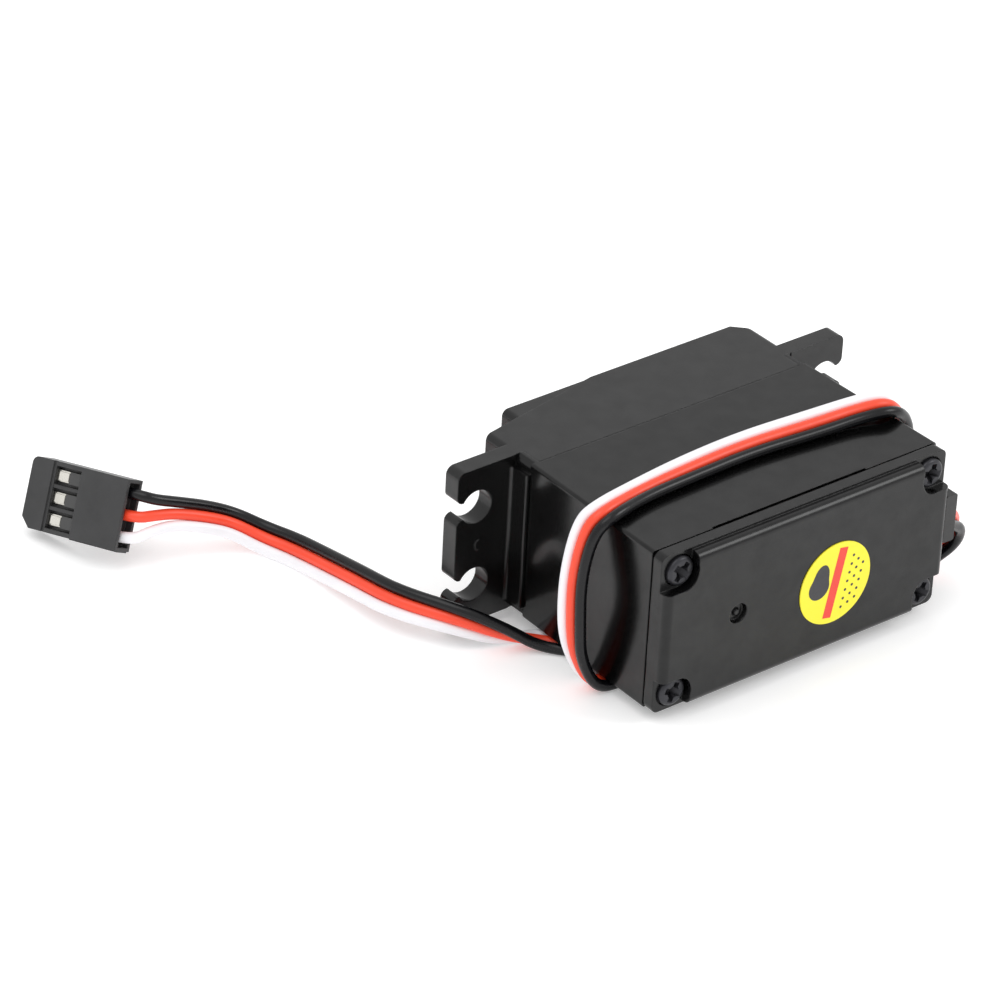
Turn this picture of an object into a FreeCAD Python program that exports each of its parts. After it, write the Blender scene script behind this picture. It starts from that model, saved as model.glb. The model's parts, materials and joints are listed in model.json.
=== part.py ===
import FreeCAD, Part
import math
import os

from FreeCAD import Vector

# A standard-size waterproof servo motor, lying on its long side, in millimetres.
#
# Frame: the origin is the centre of the four mounting slots, on the underside of the flange.
# +X runs along the case to the end where the lead leaves, +Y is the output shaft's axis,
# out of the case, and +Z is up, across the case.

# ---------------------------------------------------------------- driving dimensions

# Case
CASE_LENGTH = 40.0            # at the flange
CASE_FLARE = 0.5              # how much each end wall leans out at the cover end
CASE_WIDTH = 20.0
CASE_CORNER_RADIUS = 0.4
COVER_CORNER_RADIUS = 0.9
WALL = 1.5

# Levels along the shaft axis
COVER_FACE_Y = -27.05         # the raised face of the bottom cover
COVER_RIM_Y = -25.7           # the edge that runs round that face
COVER_SEAM_Y = -24.28
TOP_SEAM_Y = -2.6
GEAR_PLATE_BOTTOM_Y = -4.4
FLANGE_TOP_Y = 2.2
SLOPE_START_Y = 5.1
TOP_FACE_Y = 8.65
BOSS_TOP_Y = 10.4
SPLINE_TOP_Y = 14.2

# Mounting flange
FLANGE_LENGTH = 56.0
SLOT_SPACING_X = 50.5
SLOT_SPACING_Z = 10.0
SLOT_RADIUS = 2.1
THROAT_WIDTH = 2.1
LIP_RADIUS = 0.85

# Top case
SLOPE_END_X = -2.5
TOP_CHAMFER = 2.1
RAISED_BLOCK_INSET = 0.25
RAISED_BLOCK_START_X = -15.1
SKIRT_PROUD = 0.5
POST_SIZE = 1.1
POST_SOCKET = 0.1             # how far the mid case's posts reach into the flange
BOSS_RADIUS = 5.6
ROOF_THICKNESS = 1.45
COLUMN_TOP_Y = 5.4
IDLER_SOCKET_RADIUS = 1.9

# Bottom cover
FACE_INSET = 0.35             # of the raised face, along the case's long sides
FACE_ROUNDING = 0.9
NOTCH_X = 16.25               # where the raised face is cut back round each screw
NOTCH_Z = 5.6
NOTCH_ROUNDING = 1.8
GATE_X = -10.1                # the gate mark, a shallow dish round a nub
GATE_RADIUS = 1.25
GATE_DEPTH = 0.6
LABEL_RADIUS = 5.1
LABEL_THICKNESS = 0.12
LABEL_PLACE = (3.9, -1.0)      # x, z

# Seams
TOP_SEAM_GAP = 0.12
COVER_SEAM_GAP = 0.25
SEAM_GAP_DEPTH = 0.45
PRY_SLOT = (-12.0, 10.0)      # where the cover's seam is wider, along +Z
PRY_SLOT_GAP = 0.5

# Case screws
SCREW_X = 18.05
SCREW_Z = 7.7
SCREW_HEAD_RADIUS = 1.75
SCREW_HEAD_Y = -26.3
SCREW_SEAT_Y = -25.1
SCREW_TIP_Y = 3.4
SCREW_RADIUS = 0.95
SCREW_GAP = 0.15
POCKET_RADIUS = 1.9
RECESS_REACH = 1.3            # of the cross recess in each head
RECESS_WING = 0.75
RECESS_DEPTH = 1.05
RECESS_TURNS = {(False, True): 40, (True, True): 14, (False, False): 24, (True, False): 28}
COLUMN_RADIUS = 2.0

# Shaft axes, all parallel to Y at Z = 0
OUTPUT_X = 10.0
IDLER_X = 0.0
MOTOR_X = -9.0
IDLER_PIN_RADIUS = 0.75

# Gear train: teeth of each pair, driver first
FIRST_MODULE = 0.3
FIRST_PAIR = (10, 50)
SECOND_MODULE = 0.4
SECOND_PAIR = (12, 38)
THIRD_MODULE = 0.4
THIRD_PAIR = (15, 35)
LAST_MODULE = 0.5
LAST_PAIR = (10, 30)
FIRST_WHEEL_Y = (-2.2, -1.1)
SECOND_WHEEL_Y = (-0.7, 0.4)
THIRD_WHEEL_Y = (0.9, 2.1)
LAST_WHEEL_Y = (2.6, 5.2)
SECOND_DRIVER_TOP_Y = 0.6
THIRD_DRIVER_TOP_Y = 2.3
LAST_DRIVER_TOP_Y = 5.5
TOWARDS_PLUS_X = 0.0          # the angle of a tooth or a gap, from +X
TOWARDS_MINUS_X = math.pi
TOOTH_THINNING = 0.05         # taken off each tooth, for backlash
RUNNING_GAP = 0.05            # radial clearance of a turning bore

# Output shaft
SPLINE_TEETH = 25
SPLINE_RADIUS = 2.95
SPLINE_DEPTH = 0.3
JOURNAL_RADIUS = 3.2
LOWER_JOURNAL_RADIUS = 1.9
HORN_SCREW_RADIUS = 1.25
HORN_SCREW_DEPTH = 8.0
STOP_RADII = (5.2, 7.2)       # of the output gear's lug, from the shaft's axis
END_STOP_ANGLE = 106          # degrees, of each rib that the lug meets
BUSH_RADIUS = 4.3

# Motor
MOTOR_RADIUS = 7.9
MOTOR_TOP_Y = GEAR_PLATE_BOTTOM_Y
MOTOR_BOTTOM_Y = -20.2
MOTOR_CAN_END_Y = -18.0
MOTOR_CAN_WALL = 0.6
MOTOR_NOSE_RADIUS = 3.0
MOTOR_SHAFT_RADIUS = 0.75
MAGNET_BORE = 5.9
MAGNET_SPAN_Y = (-16.4, -6.0)
ROTOR_SPAN_Y = (-14.6, -7.4)
ROTOR_RADIUS = 5.5
COMMUTATOR_RADIUS = 1.6
MOTOR_SCREW_Z = 5.2
TERMINAL_Z = 4.0
MOTOR_HUB_RADIUS = 2.6
COMMUTATOR_SPAN_Y = (-17.25, -15.4)
BRUSH_WIDTH = 1.2
FRONT_BUSH_SPAN_Y = (-5.6, -3.4)

# Potentiometer
POT_RADIUS = 5.4
POT_TOP_Y = GEAR_PLATE_BOTTOM_Y
POT_BOTTOM_Y = -9.4
POT_NOSE_RADIUS = 3.0
POT_SHAFT_RADIUS = 1.3
POT_FLAT = 0.9
POT_LEG_X = 3.8               # from the output axis
POT_LEG_Z = (-2.5, 0, 2.5)

# Circuit board
BOARD_TOP_Y = -22.6
BOARD_THICKNESS = 1.0
BOARD_LENGTH = 31.2
BOARD_WIDTH = 16.4
CAPACITOR_RADIUS = 2.0
CAPACITOR_HEIGHT = 6.5
CAPACITOR_PLACE = (1.4, -5.2)  # x, z

# Lead: three bonded wires
WIRE_DIAMETER = 1.3
WIRE_PITCH = WIRE_DIAMETER
FLOOR_Z = -11.4
LYING_Z = FLOOR_Z + WIRE_DIAMETER / 2

# Strain relief, where the lead leaves the cover
GROMMET_Z = 0.93
GROMMET_WIDTH = 6.05
GROMMET_BOTTOM_Y = -26.5
GROMMET_TOP_Y = -23.4
GROMMET_FACE_X = 22.2
GROMMET_LIP_X = (17.6, 18.6)
GROMMET_NECK_Y = (-25.35, -23.7)
GROMMET_NECK_INSET = 0.4

# Plug
PLUG_LENGTH = 14.0
PLUG_WIDTH = 8.2
PLUG_THICKNESS = 2.6
PLUG_PITCH = 2.54
PLUG_KEY = 0.15
WINDOW_START = 6.8            # from the wire end
WINDOW_END = 10.6
WINDOW_HEIGHT = 2.1
WINDOW_SINK = 0.3             # of the bars between the windows
GROOVE_WIDTH = 0.35
WIRE_ENTRY_DEPTH = 0.9        # of the hollow in the wire end
WIRE_ENTRY_RIM = 0.4
WIRE_END = 1.5                # where the wires stop, inside their cavities
CAVITY_END = 11.5
CONTACT_START = 4.5
TONGUE_LENGTH = 1.7
PLUG_CORNER = Vector(-54.95, 45.13, -10.2)   # lower corner of the face with the windows
PLUG_TURN = 105.7             # degrees, the way from the wires to the mating end, about Z
PLUG_DIP = -9.0               # degrees, how far the mating end points down
PLUG_LEAN = 28.0              # degrees, how far the plug leans back off its edge

# The lead's route, along its middle wire: x, y, z, then the direction from the black wire
# to the white one, as an angle about Z and an angle above the horizontal, in degrees.
LEAD_ROUTE = [
    (22.2, -25.2, 0.85, 90, 90),
    (23.9, -24.2, -0.4, 43, 55),
    (25.8, -22.85, -2.55, 92, 25),
    (26.15, -21.85, -5.2, 93, 29),
    (24.95, -20.0, -7.85, 84, 27),
    (22.9, -18.75, -10.5, 74, 7),
    (19.85, -17.85, LYING_Z, 80, 0),
    (14.6, -17.3, LYING_Z, 88, 0),
    (6.5, -17.1, LYING_Z, 90, 0),
    (-5.0, -16.8, LYING_Z, 90, 0),
    (-12.5, -16.8, LYING_Z, 90, 0),
    (-18.3, -16.6, LYING_Z, 91, 0),
    (-21.35, -16.3, -10.7, 82, -2),
    (-23.45, -15.8, -6.5, 84, -5),
    (-24.3, -15.95, -2.25, 99, -4),
    (-23.8, -15.2, 3.65, 92, -5),
    (-22.45, -15.25, 9.15, 90, 9),
    (-20.7, -16.05, 11.05, 95, 3),
    (-14.9, -14.55, 10.65, 94, -3),
    (-7.55, -14.25, 10.95, 95, 10),
    (1.25, -13.95, 11.0, 85, 13),
    (10.05, -14.85, 11.1, 86, 18),
    (16.4, -15.3, 11.2, 81, 13),
    (19.65, -16.5, 11.6, 86, 16),
    (22.15, -15.8, 9.45, 91, 3),
    (23.8, -15.2, 6.3, 83, 11),
    (24.45, -14.4, 1.15, 90, 9),
    (24.4, -13.25, -5.55, 89, 9),
    (23.35, -12.45, -10.5, 83, 4),
    (19.75, -11.7, LYING_Z, 87, 0),
    (13.4, -11.9, LYING_Z, 90, 0),
    (2.0, -12.0, LYING_Z, 90, 0),
    (-9.0, -12.2, LYING_Z, 88, 0),
    (-17.4, -9.9, LYING_Z, 56, 0),
    (-20.7, -6.1, LYING_Z, 58, 0),
    (-24.2, -4.7, -9.6, 95, -53),
    (-28.4, -1.8, -7.65, 151, -73),
    (-32.15, 5.1, -7.45, 196, -53),
    (-32.4, 11.7, -8.15, 191, -50),
    (-32.45, 18.0, -9.1, 191, -50),
    (-32.7, 23.2, -9.75, 194, -51),
    (-34.15, 26.95, -9.65, 206, -39),
    (-36.55, 29.4, -8.15, 222, -35),
    (-39.7, 30.05, -6.6, 233, -46),
    (-43.65, 30.9, -5.2, 228, -58),
]
FAN_POINT = (-46.3, 31.3, -4.8, 216, -59)     # where the wires part towards the plug
FAN_PITCH = 1.8


# ---------------------------------------------------------------- shape helpers

AXIS_Y = Vector(0, 1, 0)


def cylinder(radius, y0, y1, x=0.0, z=0.0):
    """A cylinder along Y, from y0 to y1."""
    return Part.makeCylinder(radius, y1 - y0, Vector(x, y0, z), AXIS_Y)


def ring(outer, inner, y0, y1, x=0.0, z=0.0):
    """A tube along Y."""
    return cylinder(outer, y0, y1, x, z).cut(cylinder(inner, y0 - 1, y1 + 1, x, z))


def cone(radius0, radius1, y0, y1, x=0.0, z=0.0):
    return Part.makeCone(radius0, radius1, y1 - y0, Vector(x, y0, z), AXIS_Y)


def block(x0, x1, y0, y1, z0, z1):
    return Part.makeBox(x1 - x0, y1 - y0, z1 - z0, Vector(x0, y0, z0))


def edges_along(shape, axis):
    """The straight edges of a shape that run along one axis."""
    found = []
    for edge in shape.Edges:
        start, end = edge.Vertexes[0].Point, edge.Vertexes[-1].Point
        way = end.sub(start)
        if way.Length > 0.01 and abs(abs(way.dot(axis)) - way.Length) < 1e-3 * way.Length:
            found.append(edge)
    return found


def rounded_block(x0, x1, y0, y1, z0, z1, radius):
    """A block whose edges along Y are rounded."""
    shape = block(x0, x1, y0, y1, z0, z1)
    return shape.makeFillet(radius, edges_along(shape, AXIS_Y))


def prism(points, y0, y1):
    """A prism along Y on an outline of (x, z) points."""
    corners = [Vector(x, y0, z) for x, z in points]
    face = Part.Face(Part.makePolygon(corners + corners[:1]))
    return face.extrude(Vector(0, y1 - y0, 0))


def side_prism(points, z0, z1):
    """A prism along Z on an outline of (x, y) points."""
    corners = [Vector(x, y, z0) for x, y in points]
    face = Part.Face(Part.makePolygon(corners + corners[:1]))
    return face.extrude(Vector(0, 0, z1 - z0))


def fused(shapes):
    whole = shapes[0]
    for shape in shapes[1:]:
        whole = whole.fuse(shape)
    return whole.removeSplitter()


def group(shapes):
    """Separate solids that share one node."""
    return Part.makeCompound(shapes)


def four_corners(x, z):
    return [(sx * x, sz * z) for sx in (-1, 1) for sz in (-1, 1)]


def half_length(y):
    """Half the length of the flared case at one level."""
    share = (TOP_SEAM_Y - y) / (TOP_SEAM_Y - COVER_RIM_Y)
    return CASE_LENGTH / 2 + CASE_FLARE * min(max(share, 0.0), 1.0)


def flared_case(y0, y1, inset=0.0, radius=CASE_CORNER_RADIUS):
    """The case's outline between two levels, with leaning ends and rounded corners."""
    side = CASE_WIDTH / 2 - inset
    low, high = half_length(y0) - inset, half_length(y1) - inset
    shape = side_prism([(-low, y0), (low, y0), (high, y1), (-high, y1)], -side, side)
    corners = [e for e in shape.Edges if abs(e.Vertexes[0].Point.y - e.Vertexes[-1].Point.y) > 0.01]
    return shape.makeFillet(radius, corners)


# ---------------------------------------------------------------- gears

def tooth_half_angle(module, teeth, radius):
    """Half the angle that an involute tooth covers at one radius."""
    pressure = math.radians(20)
    pitch = module * teeth / 2
    base = pitch * math.cos(pressure)
    at_pitch = math.pi / (2 * teeth) - TOOTH_THINNING / (2 * pitch)
    local = math.acos(min(1.0, base / max(radius, base)))
    involute = (math.tan(local) - local) - (math.tan(pressure) - pressure)
    return at_pitch - involute


def toothed_disc(module, teeth, y0, y1, x, tooth_at):
    """A spur gear along Y. One tooth is centred on the angle tooth_at, from +X."""
    pitch = module * teeth / 2
    root, tip = pitch - 1.15 * module, pitch + 0.85 * module
    flank = [root, pitch - 0.6 * module, pitch, pitch + 0.45 * module, tip]
    outline = []
    for tooth in range(teeth):
        middle = tooth_at + tooth * 2 * math.pi / teeth
        left = [(r, middle - tooth_half_angle(module, teeth, r)) for r in flank]
        right = [(r, middle + tooth_half_angle(module, teeth, r)) for r in reversed(flank)]
        outline += left + right
    points = [(x + r * math.cos(a), r * math.sin(a)) for r, a in outline]
    return prism(points, y0, y1)


def driver(module, pair, y0, y1, x, facing):
    """The small gear of a pair, with a tooth that faces its wheel."""
    return toothed_disc(module, pair[0], y0, y1, x, facing)


def wheel(module, pair, y0, y1, x, facing):
    """The large gear of a pair, with a gap that faces its driver."""
    return toothed_disc(module, pair[1], y0, y1, x, facing + math.pi / pair[1])



def first_gear():
    """Large wheel driven by the motor, with the second pair's driver on top."""
    shape = fused([
        wheel(FIRST_MODULE, FIRST_PAIR, *FIRST_WHEEL_Y, IDLER_X, TOWARDS_MINUS_X),
        cylinder(2.9, -1.15, -0.9, IDLER_X),
        driver(SECOND_MODULE, SECOND_PAIR, -0.95, SECOND_DRIVER_TOP_Y, IDLER_X, TOWARDS_PLUS_X)])
    return shape.cut(cylinder(IDLER_PIN_RADIUS + RUNNING_GAP, -4, 4, IDLER_X))


def second_gear():
    """Turns freely on the output shaft's lower journal."""
    bore = LOWER_JOURNAL_RADIUS + RUNNING_GAP
    shape = fused([
        wheel(SECOND_MODULE, SECOND_PAIR, *SECOND_WHEEL_Y, OUTPUT_X, TOWARDS_MINUS_X),
        driver(THIRD_MODULE, THIRD_PAIR, 0.35, THIRD_DRIVER_TOP_Y, OUTPUT_X, TOWARDS_MINUS_X)])
    return shape.cut(cylinder(bore, -4, 4, OUTPUT_X))


def third_gear():
    """On the idler pin, above the first gear, with the output gear's driver on top."""
    shape = fused([
        wheel(THIRD_MODULE, THIRD_PAIR, *THIRD_WHEEL_Y, IDLER_X, TOWARDS_PLUS_X),
        driver(LAST_MODULE, LAST_PAIR, 2.05, LAST_DRIVER_TOP_Y, IDLER_X, TOWARDS_PLUS_X)])
    return shape.cut(cylinder(IDLER_PIN_RADIUS + RUNNING_GAP, 0, 7, IDLER_X))


def output_gear():
    """The last wheel, the shaft with its spline, and the lug that meets the case's stops."""
    spline = prism([(OUTPUT_X + r * math.cos(a), r * math.sin(a)) for r, a in spline_outline()],
                   BOSS_TOP_Y + 0.3, SPLINE_TOP_Y)
    lead_in = cone(SPLINE_RADIUS + 0.4, SPLINE_RADIUS - 0.3, SPLINE_TOP_Y - 0.7, SPLINE_TOP_Y, OUTPUT_X)
    below = cylinder(SPLINE_RADIUS + 0.4, BOSS_TOP_Y, SPLINE_TOP_Y - 0.7, OUTPUT_X)
    spline = spline.common(lead_in.fuse(below))
    inner, outer = STOP_RADII
    lug = block(OUTPUT_X + inner, OUTPUT_X + outer, LAST_WHEEL_Y[1] - 0.1, 6.4, -0.6, 0.6)
    shape = fused([
        wheel(LAST_MODULE, LAST_PAIR, *LAST_WHEEL_Y, OUTPUT_X, TOWARDS_MINUS_X),
        cylinder(LOWER_JOURNAL_RADIUS, -2.4, LAST_WHEEL_Y[0] + 0.1, OUTPUT_X),
        cylinder(3.7, LAST_WHEEL_Y[1] - 0.1, 6.5, OUTPUT_X),
        cylinder(JOURNAL_RADIUS, 6.4, BOSS_TOP_Y + 0.4, OUTPUT_X),
        lug, spline])
    shape = shape.cut(cylinder(HORN_SCREW_RADIUS, SPLINE_TOP_Y - HORN_SCREW_DEPTH,
                               SPLINE_TOP_Y + 1, OUTPUT_X))
    shape = shape.cut(cone(HORN_SCREW_RADIUS, HORN_SCREW_RADIUS + 0.5, SPLINE_TOP_Y - 0.4,
                           SPLINE_TOP_Y + 0.1, OUTPUT_X))
    return shape.cut(flatted_rod(POT_SHAFT_RADIUS + 0.01, POT_FLAT + 0.01, -3.0, 1.5))


def spline_outline():
    outline = []
    step = 2 * math.pi / SPLINE_TEETH
    for tooth in range(SPLINE_TEETH):
        middle = tooth * step
        valley = SPLINE_RADIUS - SPLINE_DEPTH
        outline += [(valley, middle - 0.42 * step), (SPLINE_RADIUS, middle - 0.14 * step),
                    (SPLINE_RADIUS, middle + 0.14 * step), (valley, middle + 0.42 * step)]
    return outline


def flatted_rod(radius, flat, y0, y1):
    """A round rod on the output axis with one flat, as a potentiometer's shaft has."""
    rod = cylinder(radius, y0, y1, OUTPUT_X)
    return rod.cut(block(OUTPUT_X + flat, OUTPUT_X + radius + 1, y0 - 1, y1 + 1, -radius - 1, radius + 1))


def idler_pin():
    return cylinder(IDLER_PIN_RADIUS, GEAR_PLATE_BOTTOM_Y + 0.2, 7.9, IDLER_X)


# ---------------------------------------------------------------- case

def keyhole_slot(side, z):
    """A round hole that opens to the flange's end through a narrower throat."""
    centre, end = SLOT_SPACING_X / 2, FLANGE_LENGTH / 2
    half = THROAT_WIDTH / 2
    hole = cylinder(SLOT_RADIUS, -1, FLANGE_TOP_Y + 1, side * centre, z)
    x0, x1 = sorted((side * centre, side * (end + 1)))
    return hole.fuse(block(x0, x1, -1, FLANGE_TOP_Y + 1, z - half, z + half))


def rounded_lips(shape):
    """Rounds the corners where the slots' throats meet the flange's ends."""
    end = FLANGE_LENGTH / 2
    reach = SLOT_SPACING_Z / 2 + THROAT_WIDTH
    lips = [e for e in edges_along(shape, AXIS_Y)
            if abs(abs(e.CenterOfMass.x) - end) < 0.01 and abs(e.CenterOfMass.z) < reach]
    return shape.makeFillet(LIP_RADIUS, lips)


def rounded_strips(shape):
    """Rounds the strips on the skirt's ends: into the flange, and at their free edge."""
    face = CASE_LENGTH / 2 + SKIRT_PROUD
    edges = [e for e in edges_along(shape, Vector(0, 0, 1)) if abs(abs(e.CenterOfMass.x) - face) < 0.01]
    shape = shape.makeFillet(0.4, [e for e in edges if abs(e.CenterOfMass.y) < 0.01])
    edges = [e for e in edges_along(shape, Vector(0, 0, 1)) if abs(abs(e.CenterOfMass.x) - face) < 0.01]
    return shape.makeFillet(0.2, [e for e in edges if abs(e.CenterOfMass.y - TOP_SEAM_Y) < 0.01])


def top_case():
    """Gear housing with the mounting flange, the sloped top and the output boss."""
    half, side = CASE_LENGTH / 2, CASE_WIDTH / 2
    post = POST_SIZE
    skirt = block(-half, half, TOP_SEAM_Y, 0.1, -side, side)
    sockets = [block(x - post / 2 - 0.01, x + post / 2 + 0.01, TOP_SEAM_Y - 1, POST_SOCKET,
                     z - post / 2 - 0.01, z + post / 2 + 0.01)
               for x, z in four_corners(half - post / 2, side - post / 2)]
    strips = [block(s * half - SKIRT_PROUD, s * half + SKIRT_PROUD, TOP_SEAM_Y, 0.1,
                    -side + post + 0.3, side - post - 0.3) for s in (-1, 1)]
    flange = rounded_block(-FLANGE_LENGTH / 2, FLANGE_LENGTH / 2, 0, FLANGE_TOP_Y, -side, side, 1.0)
    end = half + 0.2
    ledge = TOP_FACE_Y - 0.1
    profile = [(-end, 0), (end, 0), (end, ledge - TOP_CHAMFER), (end - TOP_CHAMFER, ledge),
               (SLOPE_END_X, ledge), (-end, SLOPE_START_Y)]
    upper = side_prism(profile, -side, side)
    corners = [e for e in edges_along(upper, AXIS_Y)]
    upper = upper.makeFillet(0.8, corners)
    raised = rounded_block(RAISED_BLOCK_START_X, half - TOP_CHAMFER, 4.0, TOP_FACE_Y,
                           -side + RAISED_BLOCK_INSET, side - RAISED_BLOCK_INSET, 0.8)
    boss = cylinder(BOSS_RADIUS, TOP_FACE_Y - 1, BOSS_TOP_Y - 0.4, OUTPUT_X)
    boss = boss.fuse(cone(BOSS_RADIUS, BOSS_RADIUS - 0.4, BOSS_TOP_Y - 0.4, BOSS_TOP_Y, OUTPUT_X))
    outside = fused([skirt, *strips, flange, upper, raised, boss])
    outside = rounded_strips(outside)

    roof = TOP_FACE_Y - ROOF_THICKNESS
    inner = half - WALL
    cavity = side_prism([(-inner, TOP_SEAM_Y - 1), (inner, TOP_SEAM_Y - 1), (inner, roof - 1.2),
                         (inner - 1.2, roof), (SLOPE_END_X, roof), (-inner, SLOPE_START_Y - 1.5)],
                        -side + WALL, side - WALL)
    columns = [cylinder(COLUMN_RADIUS, TOP_SEAM_Y, COLUMN_TOP_Y, x, z)
               for x, z in four_corners(SCREW_X, SCREW_Z)]
    columns = [column.common(upper.fuse(skirt)) for column in columns]
    socket = cylinder(IDLER_SOCKET_RADIUS, 6.0, roof + 0.1, IDLER_X)
    stops = [end_stop(angle, roof) for angle in (END_STOP_ANGLE, -END_STOP_ANGLE)]
    shape = outside.cut(cavity).fuse(columns + [socket] + stops)

    holes = [keyhole_slot(s, z) for s in (-1, 1) for z in (-SLOT_SPACING_Z / 2, SLOT_SPACING_Z / 2)]
    holes += [cylinder(SCREW_RADIUS + 0.01, TOP_SEAM_Y - 1, SCREW_TIP_Y + 0.4, x, z)
              for x, z in four_corners(SCREW_X, SCREW_Z)]
    holes += [cylinder(IDLER_PIN_RADIUS + 0.01, 5, 8.0, IDLER_X),
              cylinder(BUSH_RADIUS + 0.01, roof - 1, BOSS_TOP_Y - 0.5, OUTPUT_X),
              cylinder(JOURNAL_RADIUS + 0.2, roof, BOSS_TOP_Y + 1, OUTPUT_X)]
    for hole in holes + sockets:
        shape = shape.cut(hole)
    shape = rounded_lips(shape.removeSplitter())
    mark = cylinder(0.7, -0.15, 0.1, -FLANGE_LENGTH / 2 + 3.4, 0)
    return shape.fuse(mark).removeSplitter()


def end_stop(angle, roof):
    """A rib under the roof that the output gear's lug runs against."""
    inner, outer = STOP_RADII
    rib = block(inner, outer + 0.2, 5.6, roof + 0.1, -0.5, 0.5)
    rib.rotate(Vector(0, 0, 0), AXIS_Y, angle)
    rib.translate(Vector(OUTPUT_X, 0, 0))
    return rib


def corner_post(x, z):
    """The mid case's corner, which runs on past the seam up to the flange."""
    sx, sz = math.copysign(1, x), math.copysign(1, z)
    half = POST_SIZE / 2
    post = block(x - half, x + half, TOP_SEAM_Y - 0.1, POST_SOCKET, z - half, z + half)
    outer = [(x + sx * half, z + sz * half), (x + sx * (half - 0.6), z + sz * half),
             (x + sx * half, z + sz * (half - 0.6))]
    return post.cut(prism(outer, TOP_SEAM_Y - 1, 1))


def seal_ring(outer_inset, inner_inset, y0, y1):
    outer = flared_case(y0, y1, outer_inset, 1.2)
    inner = flared_case(y0 - 0.01, y1 + 0.01, inner_inset, 0.8)
    return outer.cut(inner)


def seam_gap(y0, y1):
    """The narrow gap that shows all round the case where two of its pieces meet."""
    return seal_ring(-1.0, SEAM_GAP_DEPTH, y0, y1)


def top_seam_gap():
    """The gap under the top case, which stops at the corner posts."""
    y0, y1 = TOP_SEAM_Y - TOP_SEAM_GAP, TOP_SEAM_Y
    gap = seam_gap(y0, y1)
    end, side, post = CASE_LENGTH / 2, CASE_WIDTH / 2, POST_SIZE
    for sx, sz in four_corners(1, 1):
        xs = sorted((sx * (end - post), sx * (end + 2)))
        zs = sorted((sz * (side - post), sz * (side + 2)))
        gap = gap.cut(block(*xs, y0 - 1, y1 + 1, *zs))
    return gap


def cover_seam_gap():
    """The gap over the bottom cover, wider where a blade goes in to lift the cover."""
    slot = block(*PRY_SLOT, COVER_SEAM_Y, COVER_SEAM_Y + PRY_SLOT_GAP,
                 CASE_WIDTH / 2 - SEAM_GAP_DEPTH, CASE_WIDTH / 2 + 1)
    return seam_gap(COVER_SEAM_Y, COVER_SEAM_Y + COVER_SEAM_GAP).fuse(slot)


def bottom_gasket():
    return seal_ring(0.5, 1.0, COVER_SEAM_Y, COVER_SEAM_Y + 0.6).cut(grommet_cutter())


def top_gasket():
    return seal_ring(0.45, 0.8, TOP_SEAM_Y - 0.5, TOP_SEAM_Y)


def mid_case():
    """The motor housing: an open shell with the plate that carries the gears."""
    half, side = CASE_LENGTH / 2, CASE_WIDTH / 2
    outside = flared_case(COVER_SEAM_Y, TOP_SEAM_Y)
    posts = [corner_post(x, z) for x, z in four_corners(half - POST_SIZE / 2, side - POST_SIZE / 2)]
    inner = side_prism([(-half_length(COVER_SEAM_Y) + WALL, COVER_SEAM_Y - 1),
                        (half_length(COVER_SEAM_Y) - WALL, COVER_SEAM_Y - 1),
                        (half - WALL, GEAR_PLATE_BOTTOM_Y), (-half + WALL, GEAR_PLATE_BOTTOM_Y)],
                       -side + WALL, side - WALL)
    columns = [cylinder(COLUMN_RADIUS, COVER_SEAM_Y, GEAR_PLATE_BOTTOM_Y + 0.1, x, z).common(outside)
               for x, z in four_corners(SCREW_X, SCREW_Z)]
    shape = outside.cut(inner).fuse(columns + posts)
    holes = [cylinder(SCREW_RADIUS + SCREW_GAP, COVER_SEAM_Y - 1, 1, x, z)
             for x, z in four_corners(SCREW_X, SCREW_Z)]
    holes += [cylinder(MOTOR_NOSE_RADIUS + 0.02, GEAR_PLATE_BOTTOM_Y - 1, -3.3, MOTOR_X),
              cylinder(2.1, -3.4, 0, MOTOR_X),
              cylinder(POT_NOSE_RADIUS + 0.02, GEAR_PLATE_BOTTOM_Y - 1, -3.4, OUTPUT_X),
              cylinder(1.6, -3.5, 0, OUTPUT_X),
              cylinder(2.3, TOP_SEAM_Y - 0.2, 0, OUTPUT_X),
              cylinder(IDLER_PIN_RADIUS + 0.01, GEAR_PLATE_BOTTOM_Y + 0.2, 0, IDLER_X)]
    for z in (-MOTOR_SCREW_Z, MOTOR_SCREW_Z):
        holes += [cylinder(0.9, GEAR_PLATE_BOTTOM_Y - 1, 0, MOTOR_X, z),
                  cylinder(1.6, -3.6, 0, MOTOR_X, z)]
    holes += [seal_ring(0.5, 1.0, COVER_SEAM_Y - 0.01, COVER_SEAM_Y + 0.6), top_gasket(), grommet_cutter()]
    holes += [cover_seam_gap(), top_seam_gap()]
    for hole in holes:
        shape = shape.cut(hole)
    return shape.removeSplitter()


def screw_pocket(x, z):
    """A round pocket for a screw head, with the raised face cut away out to the corner."""
    pocket = cylinder(POCKET_RADIUS, COVER_FACE_Y - 1, SCREW_SEAT_Y, x, z)
    xs = sorted((math.copysign(NOTCH_X, x), math.copysign(NOTCH_X + 8, x)))
    zs = sorted((math.copysign(NOTCH_Z, z), math.copysign(NOTCH_Z + 8, z)))
    notch = rounded_block(*xs, COVER_FACE_Y - 1, COVER_RIM_Y, *zs, NOTCH_ROUNDING)
    return pocket.fuse(notch)


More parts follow.
